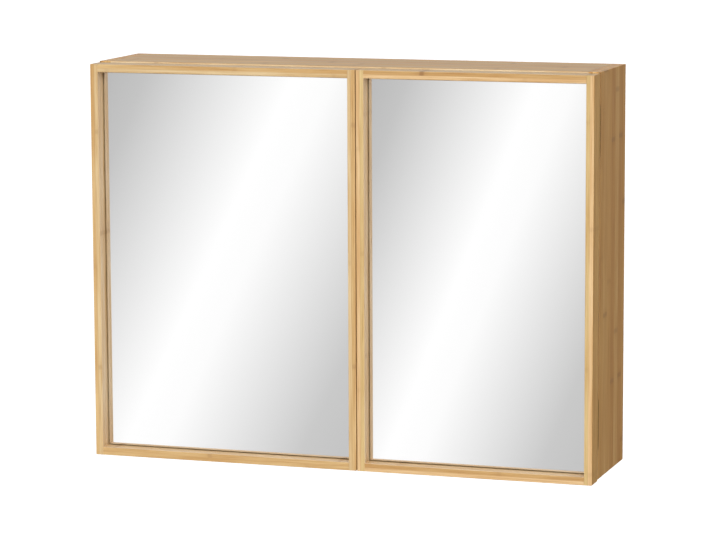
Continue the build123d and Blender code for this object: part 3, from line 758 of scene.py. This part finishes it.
class MakeScrews(bpy.types.Operator):
    """Model the countersunk screws with their threads and cross recesses"""
    bl_idname = "mirror_cabinet.make_screws"
    bl_label = "Screws"

    def execute(self, context):
        metals = {"hinge_brass": patterned("rolled_brass"),
                  "plated_steel": patterned("nickel_plated_steel")}
        for node, (outward, radius, head_depth) in SCREWS.items():
            name, body = fitting_of("crosshead_", node)
            slot = "hinge_brass" if "hinge" in node else "plated_steel"
            boxes = solid_boxes(node)
            axis = 2 if outward[2] else 1
            size = boxes[0][1] - boxes[0][0]
            model = model_screw(radius, size[0] / 2, head_depth, size[axis])
            upward = (0, 1, 0) if axis == 2 else (0, 0, 1)
            places = []
            for low, high in boxes:
                place = (low + high) / 2
                place[axis] = high[axis] if outward[axis] > 0 else low[axis]
                places.append(facing(place, outward, upward))
            finish_piece(copies_at(name, model, places), metals[slot], body, node)
        return {"FINISHED"}


def model_cam(radius, depth):
    """A cam with a cross recess at z = 0 and a slot for the bolt's head towards +Y."""
    cam = turned_blank(40, radius, depth)
    select_rim(0.0)
    bpy.ops.mesh.bevel(offset=0.5 * MM, segments=2)
    bpy.ops.object.mode_set(mode="OBJECT")
    cross_recess(cam, reach=3.6 * MM, width=1.5 * MM, depth=2.4 * MM)
    half_slot = 3.6 * MM
    slot_middle = -7.5 * MM
    cut_block(cam, (-half_slot, -half_slot, slot_middle - half_slot),
              (half_slot, radius + MM, slot_middle + half_slot))
    return cam


class MakeCams(bpy.types.Operator):
    """Model the cams and give their bolts nickel plate"""
    bl_idname = "mirror_cabinet.make_cams"
    bl_label = "Cam fittings"

    def execute(self, context):
        boxes = solid_boxes("cam_discs")
        size = boxes[0][1] - boxes[0][0]
        model = model_cam(size[1] / 2, size[2])
        cabinet_middle = (cad_box[0][2] + cad_box[1][2]) / 2
        places = []
        for low, high in boxes:
            place = (low + high) / 2
            in_top = place.z > cabinet_middle
            place.z = low.z if in_top else high.z
            outward = (0, 0, -1 if in_top else 1)
            towards_side = (-1 if place.x < 0 else 1, 0, 0)
            place.x = (low.x + size[1] / 2) if place.x > 0 else (high.x - size[1] / 2)
            places.append(facing(place, outward, towards_side))
        cams = copies_at("crosshead_cams", model, places)
        finish_piece(cams, patterned("cast_zinc"), "cabinet", "cam_discs")
        dress("cam_bolts", patterned("nickel_plated_steel"))
        return {"FINISHED"}


def model_shelf_pin(reach, length, radius, collar_radius, collar, seat):
    """A pin along Z: its peg below z = 0, then a collar and a support whose flat seat faces
    +Y at the height of the seat."""
    pin = turned_blank(28, radius, reach)
    select_rim(-reach)
    bpy.ops.mesh.bevel(offset=0.5 * MM, segments=2)
    select_end(0.0)
    lengthen(0.0, collar_radius / radius)
    lengthen(collar)
    lengthen(0.0, radius / collar_radius)
    lengthen(length - reach - collar)
    bpy.ops.object.mode_set(mode="OBJECT")
    top = length - reach
    cut_block(pin, (-2 * radius, seat, collar), (2 * radius, 2 * radius, top + MM))
    return pin


PIN_RADIUS = 2.5 * MM
PIN_COLLAR = 1.2 * MM
PIN_SEAT = 1.5 * MM


class MakeShelfPins(bpy.types.Operator):
    """Model the collared shelf pins with their flat seats"""
    bl_idname = "mirror_cabinet.make_shelf_pins"
    bl_label = "Shelf pins"

    def execute(self, context):
        side_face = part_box("left_side_panel")[1][0]
        inward_from = {
            side_face: 1,
            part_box("centre_divider")[0][0]: -1,
            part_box("centre_divider")[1][0]: 1,
            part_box("right_side_panel")[0][0]: -1,
        }
        boxes = solid_boxes("shelf_pins")
        first_low, first_high = boxes[0]
        size = first_high - first_low
        model = model_shelf_pin(side_face - first_low.x, size.x, PIN_RADIUS, size.y / 2,
                                PIN_COLLAR, PIN_SEAT)
        places = []
        for low, high in boxes:
            place = (low + high) / 2
            for wall, inward in inward_from.items():
                if low.x < wall < high.x:
                    place.x = wall
                    places.append(facing(place, (inward, 0, 0)))
        pins = copies_at("collared_shelf_pins", model, places)
        finish_piece(pins, patterned("nickel_plated_steel"), "cabinet",
                     "shelf_pins")
        return {"FINISHED"}


def model_dowel(radius, length):
    """A fluted dowel with chamfered ends, along Z and centred on the origin."""
    sides = 32
    chamfer = 0.18 * radius
    flute_depth = 0.05 * radius
    dowel = turned_blank(sides, radius, length, length / 2)
    for end in (length / 2, -length / 2):
        select_rim(end)
        bpy.ops.mesh.bevel(offset=chamfer, segments=1)

    def is_flute(face):
        middle = face.calc_center_median()
        side = math.atan2(middle.y, middle.x) / math.tau * sides - 0.5
        return abs(face.normal.z) < 0.1 and round(side) % 2 == 0

    select("faces", is_flute)
    bpy.ops.mesh.inset(thickness=0.02 * radius, depth=-flute_depth, use_individual=True)
    bpy.ops.object.mode_set(mode="OBJECT")
    return dowel


DOWELS = ("body_dowels", "rail_dowels", "left_door_frame_dowels", "right_door_frame_dowels")


class MakeDowels(bpy.types.Operator):
    """Model the fluted dowels of the body and the door frames"""
    bl_idname = "mirror_cabinet.make_dowels"
    bl_label = "Dowels"

    def execute(self, context):
        beech = patterned("turned_beech")
        for node in DOWELS:
            name, body = fitting_of("fluted_", node)
            boxes = solid_boxes(node)
            size = boxes[0][1] - boxes[0][0]
            length = max(size)
            model = model_dowel(min(size) / 2, length)
            places = []
            for low, high in boxes:
                lies_along_x = high.x - low.x > high.z - low.z
                outward = (1, 0, 0) if lies_along_x else (0, 0, 1)
                upward = (0, 0, 1) if lies_along_x else (0, 1, 0)
                places.append(facing((low + high) / 2, outward, upward))
            finish_piece(copies_at(name, model, places), beech, body, node)
        return {"FINISHED"}


def model_bumper(radius, depth):
    """A felt dot with a soft rim; its outer face is at z = 0."""
    bumper = turned_blank(32, radius, depth)
    select_rim(0.0)
    bpy.ops.mesh.bevel(offset=0.5 * depth, segments=3)
    bpy.ops.object.mode_set(mode="OBJECT")
    return bumper


class MakeBumpers(bpy.types.Operator):
    """Model the felt bumpers on the backs of the lock stiles"""
    bl_idname = "mirror_cabinet.make_bumpers"
    bl_label = "Bumpers"

    def execute(self, context):
        felt = patterned("pressed_felt")
        for side in ("left", "right"):
            node = side + "_bumpers"
            boxes = solid_boxes(node)
            size = boxes[0][1] - boxes[0][0]
            model = model_bumper(size.x / 2, size.y)
            places = []
            for low, high in boxes:
                place = (low + high) / 2
                place.y = high.y
                places.append(facing(place, (0, 1, 0)))
            bumpers = copies_at(side + "_felt_bumpers", model, places)
            finish_piece(bumpers, felt, side + "_door", node)
        return {"FINISHED"}


class MakeCatches(bpy.types.Operator):
    """Soften the catch housings, magnets and strike plates and give them their finishes"""
    bl_idname = "mirror_cabinet.make_catches"
    bl_label = "Catches"

    def execute(self, context):
        plastic = patterned("moulded_abs")
        ferrite = patterned("ground_ferrite")
        nickel = patterned("nickel_plated_steel")
        for side in ("left", "right"):
            housing = softened_copy(side + "_catch_housing", side + "_moulded_catch", 0.3 * MM)
            finish_piece(housing, plastic, "cabinet", side + "_catch_housing")
            magnet = softened_copy(side + "_catch_magnet", side + "_ground_magnet", 0.15 * MM)
            finish_piece(magnet, ferrite, "cabinet", side + "_catch_magnet")
            strike = softened_copy(side + "_strike_plate", side + "_pressed_strike", 0.2 * MM)
            finish_piece(strike, nickel, side + "_door", side + "_strike_plate")
        return {"FINISHED"}


# Studio
CAMERA_PLACE = (1.244, -3.842, 0.363)
CAMERA_AZIMUTH = math.radians(18.28)
CAMERA_ELEVATION = math.radians(8.30)
CAMERA_ROLL = math.radians(-0.24)
KEY_DIRECTION = (0.24, -0.84, 0.48)  # from the cabinet to the lamp
FLOOR_SIZE = 160.0
FLOOR_REACH = 10.0  # the floor shows the screen's edges as at this distance
FLOOR_GLOW = 0.5  # light of its own that the camera sees
AMBIENT_TURN = 0.4  # the soft light changes between this far to the front and to the back

# The soft cards that the mirrors show: their distance in front of the wall, and the part of
# each that its mirror reflects to the camera, as left, right, top and bottom
CARD_PLACE = -3.0
CARDS = {
    "left_card": (-1.51, -0.943, -0.227, -1.069),
    "right_card": (-0.89, -0.411, -0.227, -1.069),
}
CARD_MARGIN = 0.02
CARD_TONES = [(0.0, "#BABABA"), (0.1, "#C4C4C4"), (0.45, "#FFFFFF"), (0.55, "#FCFCFC"),
              (0.88, "#C9C9C9"), (1.0, "#C3C3C3")]
CARD_LEAN = 0.583  # share of the gradient that runs from left to right
CARD_STRENGTH = 1.08

# The dark screen behind the cabinet, in shares of its distance: how far its edge runs to the
# right as it goes back, and where it darkens across and over its depth
SCREEN_SLANT = 0.25
SCREEN_EDGE = (-0.30, 0.05)
SCREEN_DEPTH = 0.1


def make_camera(lens):
    """The camera at the photograph's viewpoint."""
    start_piece()
    bpy.ops.object.camera_add()
    camera = bpy.context.object
    camera.data.lens = lens
    camera.data.sensor_width = 36.0
    tilt = math.pi / 2 - CAMERA_ELEVATION
    camera.matrix_world = (Matrix.Translation(CAMERA_PLACE)
                           @ Matrix.Rotation(CAMERA_AZIMUTH, 4, "Z")
                           @ Matrix.Rotation(tilt, 4, "X")
                           @ Matrix.Rotation(CAMERA_ROLL, 4, "Z"))
    bpy.context.scene.camera = camera


def mirrored_tone(tree, place, reach):
    """The studio as gloss and glass show it: pale all round but for a dark screen behind the
    cabinet on its right. place is a point or direction, and reach is its usual size."""
    sideways = add_node(tree, "Math", {0: place.outputs[1], 1: -SCREEN_SLANT, 2: place.outputs[0]},
                        operation="MULTIPLY_ADD")
    pale_edge, dark_edge = (edge * reach for edge in SCREEN_EDGE)
    depth = SCREEN_DEPTH * reach
    on_right = add_node(tree, "MapRange",
                        {0: sideways, 1: pale_edge, 2: dark_edge, 3: 0.0, 4: 1.0})
    behind = add_node(tree, "MapRange",
                      {0: place.outputs[1], 1: -depth, 2: depth, 3: 0.0, 4: 1.0})
    screen = add_node(tree, "Math", {0: on_right, 1: behind}, operation="MULTIPLY")
    return add_node(tree, "ValToRGB", {0: screen},
                    stops=[(0.0, linear("#F4F4F4")), (1.0, linear("#4A4A4A"))])


def make_floor(height):
    """A wide white floor, which keeps the cabinet's soft shadow. To the camera a little light
    of its own brings it up to plain white."""
    start_piece()
    bpy.ops.mesh.primitive_plane_add(size=FLOOR_SIZE, location=(0, 0, -height))
    floor = bpy.context.object
    floor.name = "studio_floor"
    bpy.ops.object.transform_apply(location=True)
    material, tree = new_material("painted_studio_floor")
    path = add_node(tree, "LightPath")
    lift = add_node(tree, "Math", {0: path.outputs["Is Camera Ray"], 1: FLOOR_GLOW},
                    operation="MULTIPLY")
    paint = add_node(tree, "BsdfPrincipled",
                     {"Base Color": linear("#F4F4F4"), "Roughness": 0.9,
                      "Specular IOR Level": 0.0, "Emission Color": (1.0, 1.0, 1.0, 1.0),
                      "Emission Strength": lift})
    source = add_node(tree, "TexCoord")
    place = add_node(tree, "SeparateXYZ", {0: source.outputs["Object"]})
    mirrored = add_node(tree, "Emission",
                        {"Color": mirrored_tone(tree, place, FLOOR_REACH), "Strength": 1.0})
    either = add_node(tree, "MixShader",
                      {0: path.outputs["Is Glossy Ray"], 1: paint, 2: mirrored})
    add_node(tree, "OutputMaterial", {"Surface": either})
    floor.data.materials.append(material)


def make_card(name, left, right, top, bottom):
    """A card with a diagonal gradient from grey through white to grey. Only glossy surfaces
    show it, so it lights nothing."""
    start_piece()
    middle = ((left + right) / 2, CARD_PLACE, (top + bottom) / 2)
    bpy.ops.mesh.primitive_plane_add(size=1, location=middle, rotation=(math.radians(90), 0, 0))
    card = bpy.context.object
    card.name = name
    card.scale = (right - left + 2 * CARD_MARGIN, top - bottom + 2 * CARD_MARGIN, 1)
    bpy.ops.object.transform_apply(location=True, rotation=True, scale=True)
    material, tree = new_material("gradient_paper_" + name)
    source = add_node(tree, "TexCoord")
    place = add_node(tree, "SeparateXYZ", {0: source.outputs["Object"]})
    across = add_node(tree, "MapRange",
                      {0: place.outputs[0], 1: left, 2: right, 3: 0.0, 4: CARD_LEAN}, clamp=False)
    down = add_node(tree, "MapRange",
                    {0: place.outputs[2], 1: top, 2: bottom, 3: 0.0, 4: 1 - CARD_LEAN},
                    clamp=False)
    diagonal = add_node(tree, "Math", {0: across, 1: down}, operation="ADD")
    stops = [(position, linear(tone)) for position, tone in CARD_TONES]
    tone = add_node(tree, "ValToRGB", {0: diagonal}, stops=stops)
    light = add_node(tree, "Emission", {"Color": tone, "Strength": CARD_STRENGTH})
    add_node(tree, "OutputMaterial", {"Surface": light})
    card.data.materials.append(material)
    card.visible_camera = False
    card.visible_diffuse = False
    card.visible_transmission = False
    card.visible_shadow = False


def make_world(front_ambient, rear_ambient):
    """Soft light, a little stronger from the front, and white beyond the floor's edge."""
    world = bpy.data.worlds.new("studio")
    bpy.context.scene.world = world
    world.use_nodes = True
    tree = world.node_tree
    background = tree.nodes["Background"]
    path = add_node(tree, "LightPath")
    source = add_node(tree, "TexCoord")
    direction = add_node(tree, "SeparateXYZ", {0: source.outputs["Generated"]})
    sky = mirrored_tone(tree, direction, 1.0)
    plain = add_node(tree, "MapRange", {0: direction.outputs[1], 1: -AMBIENT_TURN, 2: AMBIENT_TURN,
                                        3: front_ambient, 4: rear_ambient})
    mirrored = add_node(tree, "Mix",
                        {0: path.outputs["Is Glossy Ray"], 6: plain, 7: sky}, data_type="RGBA")
    seen = add_node(tree, "Mix", {0: path.outputs["Is Camera Ray"], 6: mirrored.outputs[2],
                                  7: (1.0, 1.0, 1.0, 1.0)}, data_type="RGBA")
    tree.links.new(seen.outputs[2], background.inputs["Color"])


def make_key(strength, softness):
    """A large soft lamp in front, a little above the cabinet and to its right."""
    start_piece()
    bpy.ops.object.light_add(type="SUN")
    key = bpy.context.object
    key.name = "soft_key"
    key.data.energy = strength
    key.data.angle = softness
    key.rotation_euler = Vector(KEY_DIRECTION).to_track_quat("Z", "Y").to_euler()


class SetStage(bpy.types.Operator):
    """Set up the camera, floor, light and the cards that the mirrors show"""
    bl_idname = "mirror_cabinet.set_stage"
    bl_label = "Stage"

    def execute(self, context):
        settings = context.scene.cabinet_stage
        make_camera(settings.lens)
        make_floor(settings.hanging_height)
        for name, limits in CARDS.items():
            make_card(name, *limits)
        make_world(settings.front_ambient, settings.rear_ambient)
        make_key(settings.key_strength, settings.key_softness)
        context.scene.view_settings.view_transform = "Standard"
        return {"FINISHED"}


OPERATORS = (FinishDoorFrames, FinishBoards, FinishMirrors, FinishHinges, MakeScrews, MakeCams,
             MakeShelfPins, MakeDowels, MakeBumpers, MakeCatches, SetStage)


class MirrorCabinetPanel(bpy.types.Panel):
    """The steps that finish the mirror cabinet"""
    bl_idname = "VIEW3D_PT_mirror_cabinet"
    bl_label = "Mirror cabinet"
    bl_space_type = "VIEW_3D"
    bl_region_type = "UI"
    bl_category = "Mirror cabinet"

    def draw(self, context):
        for operator in OPERATORS:
            self.layout.operator(operator.bl_idname)


SETTINGS = {
    "cabinet_bamboo": BambooSettings,
    "cabinet_fittings": FittingSettings,
    "cabinet_stage": StageSettings,
}


def register():
    for group in (*SETTINGS.values(), *OPERATORS, MirrorCabinetPanel):
        bpy.utils.register_class(group)
    for name, group in SETTINGS.items():
        setattr(bpy.types.Scene, name, PointerProperty(type=group))


def unregister():
    for name in SETTINGS:
        delattr(bpy.types.Scene, name)
    for group in (MirrorCabinetPanel, *OPERATORS, *SETTINGS.values()):
        bpy.utils.unregister_class(group)


def main():
    register()
    for operator in OPERATORS:
        family, step = operator.bl_idname.split(".")
        getattr(getattr(bpy.ops, family), step)()


if __name__ == "__main__":
    main()
